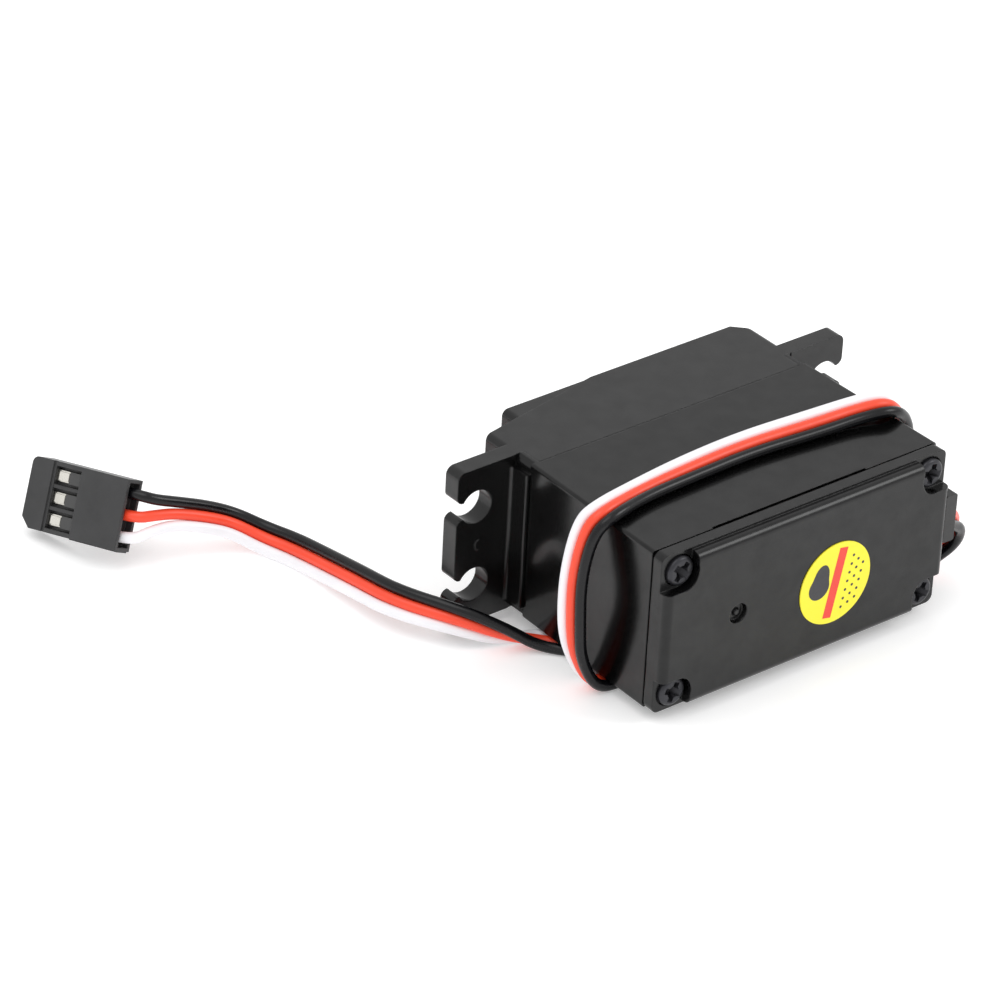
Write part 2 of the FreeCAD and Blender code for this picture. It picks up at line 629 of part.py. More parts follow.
def bottom_cover():
    """The cover with its raised face, the screw pockets and the gate mark."""
    rim = flared_case(COVER_RIM_Y, COVER_SEAM_Y, 0.0, COVER_CORNER_RADIUS)
    edge_x, edge_z = half_length(COVER_RIM_Y), CASE_WIDTH / 2 - FACE_INSET
    face = rounded_block(-edge_x, edge_x, COVER_FACE_Y, COVER_RIM_Y + 0.2, -edge_z, edge_z, 1.8)
    outline = [e for e in face.Edges
               if all(abs(v.Point.y - COVER_FACE_Y) < 1e-6 for v in e.Vertexes)]
    face = face.makeFillet(FACE_ROUNDING, outline)
    shape = rim.fuse(face)
    shape = shape.cut(rounded_block(-19.0, 19.0, COVER_RIM_Y + 0.15, COVER_SEAM_Y + 1, -8.5, 8.5, 1.0))
    seats = [cylinder(COLUMN_RADIUS + 0.6, COVER_RIM_Y + 0.1, COVER_SEAM_Y, x, z).common(rim)
             for x, z in four_corners(SCREW_X, SCREW_Z)]
    shape = shape.fuse(seats)
    for x, z in four_corners(SCREW_X, SCREW_Z):
        shape = shape.cut(screw_pocket(x, z))
        shape = shape.cut(cylinder(SCREW_RADIUS + SCREW_GAP, COVER_RIM_Y, COVER_SEAM_Y + 1, x, z))
    dish = cone(GATE_RADIUS, GATE_RADIUS - 0.2, COVER_FACE_Y, COVER_FACE_Y + GATE_DEPTH, GATE_X)
    nub = cone(0.3, 0.5, COVER_FACE_Y + 0.25, COVER_FACE_Y + GATE_DEPTH, GATE_X)
    shape = shape.cut(dish.cut(nub)).cut(grommet_cutter())
    return shape.removeSplitter()


def label():
    """A round sticker on the cover, clear of the gate mark."""
    return cylinder(LABEL_RADIUS, COVER_FACE_Y - LABEL_THICKNESS, COVER_FACE_Y, *LABEL_PLACE)


def case_screws():
    """Four long pan-head screws with cross recesses."""
    return group([case_screw(x, z) for x, z in four_corners(SCREW_X, SCREW_Z)])


def cross_recess(x, z, turn):
    """A cross-shaped cutter that tapers as it goes in, round a blunt middle."""
    top, bottom = SCREW_HEAD_Y - 0.1, SCREW_HEAD_Y + RECESS_DEPTH
    reach, half, narrow = RECESS_REACH, RECESS_WING / 2, 0.4
    cutter = cone(half * 2.2, half, top, bottom)
    for angle in (turn, turn + 90):
        blade = side_prism([(-reach, top), (reach, top), (reach * narrow, bottom),
                            (-reach * narrow, bottom)], -half, half)
        blade.rotate(Vector(0, 0, 0), AXIS_Y, angle)
        cutter = cutter.fuse(blade)
    cutter.translate(Vector(x, 0, z))
    return cutter


def case_screw(x, z):
    head = cylinder(SCREW_HEAD_RADIUS, SCREW_HEAD_Y, SCREW_SEAT_Y, x, z)
    rim = [e for e in head.Edges if abs(e.BoundBox.YMax - SCREW_HEAD_Y) < 1e-6]
    head = head.makeFillet(0.45, rim)
    turn = RECESS_TURNS[(x > 0, z > 0)]
    head = head.cut(cross_recess(x, z, turn))
    shank = cylinder(SCREW_RADIUS, SCREW_SEAT_Y, SCREW_TIP_Y - 0.8, x, z)
    tip = cone(SCREW_RADIUS, 0.35, SCREW_TIP_Y - 0.8, SCREW_TIP_Y, x, z)
    return fused([head, shank, tip])


# ---------------------------------------------------------------- output bearing and seal

def output_bush():
    """Sintered bush that carries the output shaft in the boss."""
    return ring(BUSH_RADIUS, JOURNAL_RADIUS + RUNNING_GAP, 6.9, 8.9, OUTPUT_X)


def shaft_seal():
    """O-ring above the bush."""
    return Part.makeTorus(JOURNAL_RADIUS + 0.57, 0.5, Vector(OUTPUT_X, 9.4, 0), AXIS_Y)


# ---------------------------------------------------------------- motor

def motor_can():
    shell = cylinder(MOTOR_RADIUS, MOTOR_CAN_END_Y, MOTOR_TOP_Y, MOTOR_X)
    top = [e for e in shell.Edges if abs(e.BoundBox.YMin - MOTOR_TOP_Y) < 1e-6]
    shell = shell.makeFillet(0.8, top)
    shell = shell.fuse(cylinder(MOTOR_NOSE_RADIUS, MOTOR_TOP_Y - 0.1, -3.35, MOTOR_X))
    inside = MOTOR_RADIUS - MOTOR_CAN_WALL
    shell = shell.cut(cylinder(inside, MOTOR_CAN_END_Y - 1, MOTOR_TOP_Y - 0.7, MOTOR_X))
    shell = shell.cut(cylinder(1.75, -6, -3, MOTOR_X))
    for z in (-MOTOR_SCREW_Z, MOTOR_SCREW_Z):
        shell = shell.cut(cylinder(0.71, -6, -3, MOTOR_X, z))
    return shell.removeSplitter()


def motor_end_cap():
    """Plastic cap with the brush holder and the rear bearing seat."""
    cap = cylinder(MOTOR_RADIUS - MOTOR_CAN_WALL - 0.02, MOTOR_CAN_END_Y - 0.8, -17.4, MOTOR_X)
    flange = cylinder(MOTOR_RADIUS, MOTOR_BOTTOM_Y + 0.6, MOTOR_CAN_END_Y, MOTOR_X)
    hub = cylinder(MOTOR_HUB_RADIUS, MOTOR_BOTTOM_Y, MOTOR_CAN_END_Y, MOTOR_X)
    cap = fused([cap, flange, hub])
    cap = cap.cut(cylinder(MOTOR_HUB_RADIUS, -18.6, -17, MOTOR_X))
    cap = cap.cut(cylinder(MOTOR_SHAFT_RADIUS + RUNNING_GAP, MOTOR_BOTTOM_Y + 0.5, -17, MOTOR_X))
    for z in (-TERMINAL_Z, TERMINAL_Z):
        cap = cap.cut(block(MOTOR_X - 1.01, MOTOR_X + 1.01, -22, -17, z - 0.21, z + 0.21))
    return cap


def motor_terminals():
    """Two tabs that run down through the board."""
    return group([block(MOTOR_X - 1.0, MOTOR_X + 1.0, BOARD_TOP_Y - BOARD_THICKNESS - 0.5, -17.3,
                        z - 0.2, z + 0.2) for z in (-TERMINAL_Z, TERMINAL_Z)])


def motor_brushes():
    """Two leaf brushes that press on the commutator."""
    leaves = []
    x0, x1 = MOTOR_X - BRUSH_WIDTH / 2, MOTOR_X + BRUSH_WIDTH / 2
    for s in (-1, 1):
        zs = sorted((s * (COMMUTATOR_RADIUS + 0.02), s * 1.85))
        leaf = block(x0, x1, -17.2, -16.4, *zs)
        zs = sorted((s * 1.85, s * TERMINAL_Z))
        arm = block(x0, x1, -17.3, -17.0, *zs)
        leaves.append(leaf.fuse(arm).removeSplitter())
    return group(leaves)


def motor_bush():
    return ring(1.74, MOTOR_SHAFT_RADIUS + RUNNING_GAP, *FRONT_BUSH_SPAN_Y, MOTOR_X)


def motor_magnets():
    """Two arc magnets inside the can."""
    tube = ring(MOTOR_RADIUS - MOTOR_CAN_WALL - 0.02, MAGNET_BORE, *MAGNET_SPAN_Y, MOTOR_X)
    gap = block(MOTOR_X - 10, MOTOR_X + 10, -17, -5, -2.6, 2.6)
    return group(tube.cut(gap).Solids)


def motor_shaft():
    return cylinder(MOTOR_SHAFT_RADIUS, MOTOR_BOTTOM_Y + 0.6, -1.0, MOTOR_X)


def motor_pinion():
    pinion = driver(FIRST_MODULE, FIRST_PAIR, -2.35, -0.95, MOTOR_X, TOWARDS_PLUS_X)
    return pinion.cut(cylinder(MOTOR_SHAFT_RADIUS + 0.005, -4, 1, MOTOR_X))


def rotor_core():
    """Three-pole stack of laminations."""
    y0, y1 = ROTOR_SPAN_Y
    core = [cylinder(1.9, y0, y1, MOTOR_X)]
    shoe = ring(ROTOR_RADIUS, ROTOR_RADIUS - 0.9, y0, y1, MOTOR_X)
    for pole in range(3):
        arm = block(0, 5.0, y0, y1, -0.7, 0.7)
        wedge = prism([(0, 0), (8, 5.4), (8, -5.4)], y0, y1)
        for piece in (arm, wedge):
            piece.rotate(Vector(0, 0, 0), AXIS_Y, 120 * pole)
            piece.translate(Vector(MOTOR_X, 0, 0))
        core += [arm, shoe.common(wedge)]
    return fused(core).cut(cylinder(MOTOR_SHAFT_RADIUS + 0.005, y0 - 1, y1 + 1, MOTOR_X))


def rotor_windings():
    """A coil round each arm of the core."""
    coils = []
    for pole in range(3):
        coil = rounded_coil()
        coil.rotate(Vector(0, 0, 0), AXIS_Y, 120 * pole)
        coil.translate(Vector(MOTOR_X, 0, 0))
        coils.append(coil)
    return group(coils)


def rounded_coil():
    y0, y1 = ROTOR_SPAN_Y
    outer = block(2.6, 4.3, y0 - 0.7, y1 + 0.7, -1.5, 1.5)
    outer = outer.makeFillet(0.6, edges_along(outer, Vector(1, 0, 0)))
    return outer.cut(block(2, 5, y0 - 0.01, y1 + 0.01, -0.71, 0.71))


def commutator():
    return ring(COMMUTATOR_RADIUS, MOTOR_SHAFT_RADIUS + 0.005, *COMMUTATOR_SPAN_Y, MOTOR_X)


def motor_screws():
    """Two short screws that hold the motor under the gear plate."""
    screws = []
    for z in (-MOTOR_SCREW_Z, MOTOR_SCREW_Z):
        head = cylinder(1.4, -3.6, -2.7, MOTOR_X, z)
        shank = cylinder(0.7, -5.0, -3.5, MOTOR_X, z)
        slot = block(MOTOR_X - 1.5, MOTOR_X + 1.5, -3.1, -2, z - 0.2, z + 0.2)
        screws.append(head.fuse(shank).cut(slot).removeSplitter())
    return group(screws)


# ---------------------------------------------------------------- position sensor

def pot_body():
    """Sealed potentiometer under the gear plate, with a bushing in the plate."""
    body = cylinder(POT_RADIUS, POT_BOTTOM_Y, POT_TOP_Y, OUTPUT_X)
    nose = cylinder(POT_NOSE_RADIUS, POT_TOP_Y - 0.1, -3.45, OUTPUT_X)
    track_room = cylinder(4.3, POT_BOTTOM_Y + 0.7, -6.4, OUTPUT_X)
    bore = cylinder(POT_SHAFT_RADIUS + RUNNING_GAP, POT_BOTTOM_Y + 0.4, 0, OUTPUT_X)
    return body.fuse(nose).cut(track_room).cut(bore).removeSplitter()


def pot_shaft():
    return flatted_rod(POT_SHAFT_RADIUS, POT_FLAT, POT_BOTTOM_Y + 0.5, 1.4)


def pot_wiper():
    disc = cylinder(3.8, -7.6, -7.0, OUTPUT_X)
    return disc.cut(flatted_rod(POT_SHAFT_RADIUS + 0.01, POT_FLAT + 0.01, -8, -6))


def pot_track():
    return ring(4.0, 2.6, -8.6, -8.3, OUTPUT_X)


def pot_legs():
    """Three legs from the potentiometer down through the board."""
    x = OUTPUT_X + POT_LEG_X
    return group([block(x - 0.2, x + 0.2, BOARD_TOP_Y - BOARD_THICKNESS - 0.5, POT_BOTTOM_Y,
                        z - 0.3, z + 0.3) for z in POT_LEG_Z])


# ---------------------------------------------------------------- electronics

def circuit_board():
    bottom = BOARD_TOP_Y - BOARD_THICKNESS
    half, side = BOARD_LENGTH / 2, BOARD_WIDTH / 2
    board = rounded_block(-half, half, bottom, BOARD_TOP_Y, -side, side, 0.6)
    for z in (-TERMINAL_Z, TERMINAL_Z):
        board = board.cut(block(MOTOR_X - 1.05, MOTOR_X + 1.05, bottom - 1, BOARD_TOP_Y + 1,
                                z - 0.25, z + 0.25))
    x = OUTPUT_X + POT_LEG_X
    for z in POT_LEG_Z:
        board = board.cut(block(x - 0.25, x + 0.25, bottom - 1, BOARD_TOP_Y + 1, z - 0.35, z + 0.35))
    return board


def control_chip():
    """Small-outline package with its leads, on the side that faces the cover."""
    top = BOARD_TOP_Y - BOARD_THICKNESS
    body = block(-2.5, 2.5, top - 1.3, top - 0.15, -1.9, 1.9)
    leads = []
    for side in (-1, 1):
        for lead in range(7):
            x = -1.9 + lead * 0.63
            zs = sorted((side * 1.9, side * 3.0))
            leads.append(block(x - 0.12, x + 0.12, top - 0.16, top, *zs))
    return group([body] + leads)


def driver_transistors():
    """Two flat packages of the motor's bridge."""
    top = BOARD_TOP_Y - BOARD_THICKNESS
    return group([block(4.6, 7.8, top - 1.2, top, z - 1.6, z + 1.6) for z in (-4.6, 4.6)])


def board_components():
    """Ceramic capacitors and resistors on the board."""
    top = BOARD_TOP_Y - BOARD_THICKNESS
    places = [(-6.0, -6.2), (-6.0, 6.2), (-4.2, -6.2), (0.2, 5.4), (0.2, -5.4), (11.0, -5.0), (11.0, 5.0)]
    return group([block(x - 0.8, x + 0.8, top - 0.8, top, z - 0.45, z + 0.45) for x, z in places])


def buffer_capacitor():
    """Upright electrolytic between the motor and the potentiometer."""
    can = cylinder(CAPACITOR_RADIUS, BOARD_TOP_Y, BOARD_TOP_Y + CAPACITOR_HEIGHT, *CAPACITOR_PLACE)
    rims = [e for e in can.Edges if e.Length > 10]
    return can.makeFillet(0.3, rims)


# ---------------------------------------------------------------- lead and plug

def grommet_cutter():
    """The notch in the end wall that the strain relief fills."""
    half = GROMMET_WIDTH / 2 - GROMMET_NECK_INSET
    return block(GROMMET_LIP_X[0] - 0.1, 21.0, *GROMMET_NECK_Y, GROMMET_Z - half, GROMMET_Z + half)


def strain_relief():
    """Rubber block: an outer head, a neck through the wall and an inner lip."""
    wide, neck = GROMMET_WIDTH / 2, GROMMET_WIDTH / 2 - GROMMET_NECK_INSET
    low, high = GROMMET_Z - wide, GROMMET_Z + wide
    head = rounded_block(20.53, GROMMET_FACE_X, GROMMET_BOTTOM_Y, GROMMET_TOP_Y, low, high, 0.3)
    through = block(18.2, 20.6, *GROMMET_NECK_Y, GROMMET_Z - neck, GROMMET_Z + neck)
    lip = block(*GROMMET_LIP_X, *GROMMET_NECK_Y, low, high)
    return fused([head, through, lip])


def plug_frame():
    """The plug's own axes: along it to the mating end, up its edge, and through it."""
    turn, dip, lean = (math.radians(a) for a in (PLUG_TURN, PLUG_DIP, PLUG_LEAN))
    along = Vector(math.cos(turn) * math.cos(dip), math.sin(turn) * math.cos(dip), math.sin(dip))
    aside = Vector(-math.sin(turn), math.cos(turn), 0)
    upright = along.cross(aside)
    upward = upright * math.cos(lean) - aside * math.sin(lean)
    return along, upward, along.cross(upward)


def in_plug(along_mm, up_mm, through_mm):
    """A point in the plug, measured from its wire end, its lower edge and its windowed face."""
    along, upward, through = plug_frame()
    wire_end = PLUG_CORNER - along * PLUG_LENGTH
    return wire_end + along * along_mm + upward * up_mm + through * through_mm


def placed_in_plug(shape):
    """Moves a shape drawn in the plug's own axes, X along, Y up and Z through, to its place."""
    along, upward, through = plug_frame()
    start = in_plug(0, 0, 0)
    matrix = FreeCAD.Matrix(along.x, upward.x, through.x, start.x,
                            along.y, upward.y, through.y, start.y,
                            along.z, upward.z, through.z, start.z,
                            0, 0, 0, 1)
    return shape.transformed(matrix)


def contact_heights():
    """How high each wire's contact sits in the plug: black uppermost, then red, then white."""
    middle = PLUG_WIDTH / 2
    return {"black": middle + PLUG_PITCH, "red": middle, "white": middle - PLUG_PITCH}


def plug_housing():
    """Three-way female housing, with a key on its lower edge and a window for each contact."""
    body = block(0, PLUG_LENGTH, 0, PLUG_WIDTH, 0, PLUG_THICKNESS)
    mating = [e for e in edges_along(body, Vector(0, 0, 1)) if e.CenterOfMass.x > 1]
    low = [e for e in mating if e.CenterOfMass.y < 1]
    high = [e for e in mating if e.CenterOfMass.y > 1]
    body = body.makeChamfer(1.2, low)
    body = body.makeFillet(0.8, [e for e in edges_along(body, Vector(0, 0, 1))
                                 if (e.CenterOfMass - high[0].CenterOfMass).Length < 0.1])
    key = block(0, PLUG_LENGTH * 0.5, -PLUG_KEY, 0.1, 0.4, PLUG_THICKNESS - 0.4)
    body = body.fuse(key)
    heights = contact_heights().values()
    half = WINDOW_HEIGHT / 2
    for height in heights:
        body = body.cut(block(WINDOW_START, WINDOW_END, height - half, height + half, -0.1, 1.0))
        body = body.cut(block(-0.1, CAVITY_END, height - 0.7, height + 0.7, 0.65, 1.95))
        body = body.cut(block(CAVITY_END - 0.1, PLUG_LENGTH + 1, height - 0.4, height + 0.4, 0.9, 1.7))
    bars = block(WINDOW_START, WINDOW_END, min(heights) - half, max(heights) + half, -0.1, WINDOW_SINK)
    groove = block(WINDOW_END - 0.05, WINDOW_END + GROOVE_WIDTH, -0.1, PLUG_WIDTH + 0.1, -0.1, 0.2)
    entry = block(-0.1, WIRE_ENTRY_DEPTH, WIRE_ENTRY_RIM, PLUG_WIDTH - WIRE_ENTRY_RIM,
                  WIRE_ENTRY_RIM, PLUG_THICKNESS - WIRE_ENTRY_RIM)
    body = body.cut(bars).cut(groove).cut(entry)
    return placed_in_plug(body.removeSplitter())


def plug_latches():
    """The plastic tongue that holds each contact, seen at the wire end of its window."""
    tongues = []
    end = WINDOW_START + TONGUE_LENGTH
    for height in contact_heights().values():
        tongues.append(block(WINDOW_START, end, height - 0.7, height + 0.7, 0.2, 0.64))
    return placed_in_plug(group(tongues))


def plug_contacts():
    """Folded metal sockets inside the housing."""
    contacts = []
    for height in contact_heights().values():
        box = block(CONTACT_START, CAVITY_END - 0.1, height - 0.65, height + 0.65, 0.7, 1.9)
        box = box.cut(block(CONTACT_START + 0.1, CAVITY_END + 0.5, height - 0.45, height + 0.45, 0.9, 1.7))
        tab = block(WINDOW_START + TONGUE_LENGTH + 0.3, WINDOW_END - 0.4,
                    height - 0.48, height + 0.48, 0.45, 0.7)
        contacts.append(box.fuse(tab).removeSplitter())
    return placed_in_plug(group(contacts))


def station_point(station, offset):
    """A wire's place at one station, offset along the ribbon from its middle wire."""
    x, y, z, turn, rise = station
    turn, rise = math.radians(turn), math.radians(rise)
    across = Vector(math.cos(rise) * math.cos(turn), math.cos(rise) * math.sin(turn), math.sin(rise))
    return Vector(x, y, z) + across * offset


def wire_points(side, colour):
    """One wire's route: side is -1, 0 or 1 for the black, red and white wire."""
    points = [station_point(station, side * WIRE_PITCH) for station in LEAD_ROUTE]
    points.append(station_point(FAN_POINT, side * FAN_PITCH))
    height = contact_heights()[colour]
    middle = PLUG_THICKNESS / 2
    points.append(in_plug(-1.2, height, middle))
    points.append(in_plug(WIRE_END, height, middle))
    return points


def tube_path(points):
    """Straight runs joined by tangent arcs, each as large as its two runs allow."""
    edges, radii = [], []
    last = points[0]
    for before, corner, after in zip(points, points[1:], points[2:]):
        back, ahead = before.sub(corner), after.sub(corner)
        reach = 0.45 * min(back.Length, ahead.Length)
        back.normalize()
        ahead.normalize()
        half_turn = (math.pi - back.getAngle(ahead)) / 2
        radius = reach / math.tan(half_turn)
        start, end = corner + back * reach, corner + ahead * reach
        inward = (back + ahead).normalize()
        deep = radius / math.cos(half_turn) - radius
        edges.append(Part.LineSegment(last, start).toShape())
        edges.append(Part.Arc(start, corner + inward * deep, end).toShape())
        radii.append(radius)
        last = end
    edges.append(Part.LineSegment(last, points[-1]).toShape())
    return Part.Wire(edges), radii


def wire(side, colour):
    """One insulated wire of the lead, from the strain relief to the plug."""
    points = wire_points(side, colour)
    path, radii = tube_path(points)
    start = points[0]
    section = Part.Wire(Part.makeCircle(WIRE_DIAMETER / 2, start, points[1].sub(start)))
    tube = path.makePipeShell([section], True, True)
    expected = math.pi * WIRE_DIAMETER ** 2 / 4 * path.Length
    print(colour, "wire: length", round(path.Length, 1), "volume ratio", round(tube.Volume / expected, 4),
          "radii", [round(r, 1) for r in radii])
    return tube


def lead_tails():
    """The wires' ends inside the case, from the strain relief to the board."""
    y = BOARD_TOP_Y - BOARD_THICKNESS - 0.45
    return group([Part.makeCylinder(0.45, 3.1, Vector(14.5, y, GROMMET_Z + offset), Vector(1, 0, 0))
                  for offset in (-1.3, 0, 1.3)])


PARTS = {
    "top_case": top_case,
    "mid_case": mid_case,
    "bottom_cover": bottom_cover,
    "case_screws": case_screws,
    "cover_label": label,
    "bottom_gasket": bottom_gasket,
    "top_gasket": top_gasket,
    "strain_relief": strain_relief,
    "output_gear": output_gear,
    "output_bush": output_bush,
    "shaft_seal": shaft_seal,
    "idler_pin": idler_pin,
    "first_gear": first_gear,
    "second_gear": second_gear,
    "third_gear": third_gear,
    "motor_can": motor_can,
    "motor_end_cap": motor_end_cap,
    "motor_terminals": motor_terminals,
    "motor_brushes": motor_brushes,
    "motor_bush": motor_bush,
    "motor_magnets": motor_magnets,
    "motor_shaft": motor_shaft,
    "motor_pinion": motor_pinion,
    "rotor_core": rotor_core,
    "rotor_windings": rotor_windings,
    "commutator": commutator,
    "motor_screws": motor_screws,
    "pot_body": pot_body,
    "pot_shaft": pot_shaft,
    "pot_wiper": pot_wiper,
    "pot_track": pot_track,
    "pot_legs": pot_legs,
    "circuit_board": circuit_board,
    "control_chip": control_chip,
    "driver_transistors": driver_transistors,
    "board_components": board_components,
    "buffer_capacitor": buffer_capacitor,
    "lead_tails": lead_tails,
    "wire_black": lambda: wire(-1, "black"),
    "wire_red": lambda: wire(0, "red"),
    "wire_white": lambda: wire(1, "white"),
    "plug_housing": plug_housing,
    "plug_latches": plug_latches,
    "plug_contacts": plug_contacts,
}

os.makedirs("parts", exist_ok=True)
for node, make in PARTS.items():
    shape = make()
    if not shape.isValid():
        raise ValueError(node + " is not valid")
    print(node, len(shape.Solids), "solids", round(shape.Volume, 2), "mm3")
    shape.exportStep("parts/" + node + ".step")
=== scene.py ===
import json
import math

import bmesh
import bpy
from mathutils import Matrix, Vector


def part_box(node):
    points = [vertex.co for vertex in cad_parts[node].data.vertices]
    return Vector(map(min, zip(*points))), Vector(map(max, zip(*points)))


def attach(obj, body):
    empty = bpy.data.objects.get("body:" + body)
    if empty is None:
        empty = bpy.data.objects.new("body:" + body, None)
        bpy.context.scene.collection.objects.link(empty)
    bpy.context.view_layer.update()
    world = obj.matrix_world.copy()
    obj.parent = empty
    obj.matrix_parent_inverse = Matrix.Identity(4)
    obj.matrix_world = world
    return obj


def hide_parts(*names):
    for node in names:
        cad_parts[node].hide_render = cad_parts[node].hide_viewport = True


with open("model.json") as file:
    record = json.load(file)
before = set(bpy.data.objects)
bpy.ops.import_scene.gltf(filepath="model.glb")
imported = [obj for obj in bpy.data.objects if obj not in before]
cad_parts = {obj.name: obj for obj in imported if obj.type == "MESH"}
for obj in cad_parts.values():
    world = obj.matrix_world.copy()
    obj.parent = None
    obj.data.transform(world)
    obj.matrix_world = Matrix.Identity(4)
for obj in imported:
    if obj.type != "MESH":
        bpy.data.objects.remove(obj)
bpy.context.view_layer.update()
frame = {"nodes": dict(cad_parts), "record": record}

# Every length is in metres, in the CAD's frame: +X along the case, +Y along the shaft, +Z up.

# ---------------------------------------------------------------- sizes

FLOOR_Z = -0.0114
WIRE_DIAMETER = 0.0013
LYING_Z = FLOOR_Z + WIRE_DIAMETER / 2

PLUG_CORNER = Vector((-0.05495, 0.04513, -0.0102))
PLUG_TURN = 105.7
PLUG_DIP = -9.0
PLUG_LEAN = 28.0
PLUG_LENGTH = 0.014
PLUG_WIDTH = 0.0082
PLUG_THICKNESS = 0.0026
PLUG_PITCH = 0.00254
WIRE_AIM = -0.0012        # outside the plug's end, where a wire comes into line with its hole
WIRE_END = 0.0015         # inside the plug's end

# The lead's route along its middle wire: x, y, z, then the direction from the black wire
# to the white one, as an angle about Z and an angle above the horizontal, in degrees.
LEAD_ROUTE = [
    (0.0222, -0.0252, 0.00085, 90, 90),
    (0.0239, -0.0242, -0.0004, 43, 55),
    (0.0258, -0.02285, -0.00255, 92, 25),
    (0.02615, -0.02185, -0.0052, 93, 29),
    (0.02495, -0.02, -0.00785, 84, 27),
    (0.0229, -0.01875, -0.0105, 74, 7),
    (0.01985, -0.01785, LYING_Z, 80, 0),
    (0.0146, -0.0173, LYING_Z, 88, 0),
    (0.0065, -0.0171, LYING_Z, 90, 0),
    (-0.005, -0.0168, LYING_Z, 90, 0),
    (-0.0125, -0.0168, LYING_Z, 90, 0),
    (-0.0183, -0.0166, LYING_Z, 91, 0),
    (-0.02135, -0.0163, -0.0107, 82, -2),
    (-0.02345, -0.0158, -0.0065, 84, -5),
    (-0.0243, -0.01595, -0.00225, 99, -4),
    (-0.0238, -0.0152, 0.00365, 92, -5),
    (-0.02245, -0.01525, 0.00915, 90, 9),
    (-0.0207, -0.01605, 0.01105, 95, 3),
    (-0.0149, -0.01455, 0.01065, 94, -3),
    (-0.00755, -0.01425, 0.01095, 95, 10),
    (0.00125, -0.01395, 0.011, 85, 13),
    (0.01005, -0.01485, 0.0111, 86, 18),
    (0.0164, -0.0153, 0.0112, 81, 13),
    (0.01965, -0.0165, 0.0116, 86, 16),
    (0.02215, -0.0158, 0.00945, 91, 3),
    (0.0238, -0.0152, 0.0063, 83, 11),
    (0.02445, -0.0144, 0.00115, 90, 9),
    (0.0244, -0.01325, -0.00555, 89, 9),
    (0.02335, -0.01245, -0.0105, 83, 4),
    (0.01975, -0.0117, LYING_Z, 87, 0),
    (0.0134, -0.0119, LYING_Z, 90, 0),
    (0.002, -0.012, LYING_Z, 90, 0),
    (-0.009, -0.0122, LYING_Z, 88, 0),
    (-0.0174, -0.0099, LYING_Z, 56, 0),
    (-0.0207, -0.0061, LYING_Z, 58, 0),
    (-0.0242, -0.0047, -0.0096, 95, -53),
    (-0.0284, -0.0018, -0.00765, 151, -73),
    (-0.03215, 0.0051, -0.00745, 196, -53),
    (-0.0324, 0.0117, -0.00815, 191, -50),
    (-0.03245, 0.018, -0.0091, 191, -50),
    (-0.0327, 0.0232, -0.00975, 194, -51),
    (-0.03415, 0.02695, -0.00965, 206, -39),
    (-0.03655, 0.0294, -0.00815, 222, -35),
    (-0.0397, 0.03005, -0.0066, 233, -46),
    (-0.04365, 0.0309, -0.0052, 228, -58),
]
FAN_POINT = (-0.0463, 0.0313, -0.0048, 216, -59)
FAN_PITCH = 0.0018

CAMERA_PLACE = Vector((-0.35337, -0.39630, 0.31946))
CAMERA_AIM = Vector((-0.01695, 0.00589, 0.0))
CAMERA_ROLL = 3.03
CAMERA_LENS = 197.8
SENSOR_WIDTH = 36.0

FLOOR_HALF_WIDTH = 1.5
FLOOR_GLOW = 0.25
SURROUND_STRENGTH = 0.90
# Each soft lamp's place, width and power. Both point at the origin.
LAMPS = {
    "key": ((-0.25, 0.05, 0.55), 0.45, 0.9),
    "edge_softbox": ((0.42, -0.38, 0.46), 0.3, 1.2),
}

# Scales of the noise behind each surface: a drift of colour over millimetres, and patches of
# sheen about half as wide.
DRIFT_SCALE = 180.0
PATCH_SCALE = 420.0
PAPER_SCALE = 400.0
NOISE_SPAN = (0.3, 0.7)       # nearly every noise value lies between these
ROUGHNESS_DRIFT = (0.88, 1.12)


# ---------------------------------------------------------------- camera, floor and light

def make_camera():
    camera = bpy.data.objects.new("camera", bpy.data.cameras.new("camera"))
    bpy.context.scene.collection.objects.link(camera)
    camera.data.sensor_width = SENSOR_WIDTH
    camera.data.lens = CAMERA_LENS
    camera.data.clip_start, camera.data.clip_end = 0.01, 10.0
    ahead = (CAMERA_AIM - CAMERA_PLACE).normalized()
    level = ahead.cross(Vector((0, 0, 1))).normalized()
    above = level.cross(ahead)
    roll = math.radians(CAMERA_ROLL)
    right = level * math.cos(roll) + above * math.sin(roll)
    up = right.cross(ahead)
    turn = Matrix((right, up, -ahead)).transposed()
    camera.matrix_world = Matrix.Translation(CAMERA_PLACE) @ turn.to_4x4()
    bpy.context.scene.camera = camera


def soft_lamp(name, place, size, power):
    """A square lamp that points at the origin."""
    light = bpy.data.lights.new(name, "AREA")
    light.size = size
    light.energy = power
    lamp = bpy.data.objects.new(name, light)
    lamp.location = place
    lamp.rotation_euler = (-Vector(place)).to_track_quat("-Z", "Y").to_euler()
    bpy.context.scene.collection.objects.link(lamp)


def make_studio():
    """A pale floor, an even white surround and two soft lamps."""
    scene = bpy.context.scene
    scene.view_settings.view_transform = "Standard"
    world = bpy.data.worlds.new("surround")
    world.use_nodes = True
    background = world.node_tree.nodes["Background"]
    background.inputs["Color"].default_value = (1.0, 1.0, 1.0, 1.0)
    background.inputs["Strength"].default_value = SURROUND_STRENGTH
    scene.world = world
    mesh = bpy.data.meshes.new("floor")
    signs = ((-1, -1), (1, -1), (1, 1), (-1, 1))
    corners = [(x * FLOOR_HALF_WIDTH, y * FLOOR_HALF_WIDTH, FLOOR_Z) for x, y in signs]
    mesh.from_pydata(corners, [], [(0, 1, 2, 3)])
    floor = bpy.data.objects.new("floor", mesh)
    scene.collection.objects.link(floor)
    mesh.materials.append(floor_paper())
    for name, (place, size, power) in LAMPS.items():
        soft_lamp(name, place, size, power)


